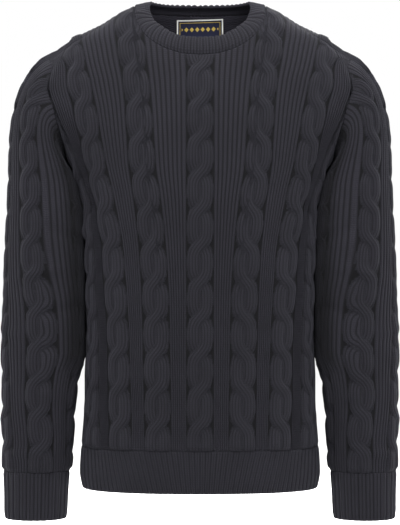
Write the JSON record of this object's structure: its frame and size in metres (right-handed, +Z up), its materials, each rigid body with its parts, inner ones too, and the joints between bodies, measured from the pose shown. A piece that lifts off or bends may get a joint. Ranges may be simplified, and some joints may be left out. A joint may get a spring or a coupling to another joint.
{
  "type": "sweater",
  "caption": "Hollow long-sleeved crew neck sweater in its worn form, with raised cables and ribs all round and ribbed collar, cuffs and hem; it clothes an upper body",
  "frame": {"origin": "Middle of the neck opening, where the wearer's neck holds the garment", "axes": "+Z up, +X towards the right of the picture (the wearer's left), -Y the front of the garment"},
  "size_m": [0.5576, 0.246, 0.7259],
  "materials": {
    "knit": "matt cotton yarn, cable and rib knit",
    "rib": "matt cotton yarn, rib knit",
    "label": "woven, slight sheen"
  },
  "bodies": {
    "root": {"body_front": "knit", "body_back": "knit", "sleeve_left": "knit", "sleeve_right": "knit", "cuff_left": "rib", "cuff_right": "rib", "hem_rib": "rib", "collar": "rib", "neck_label": "label"}
  },
  "joints": []
}
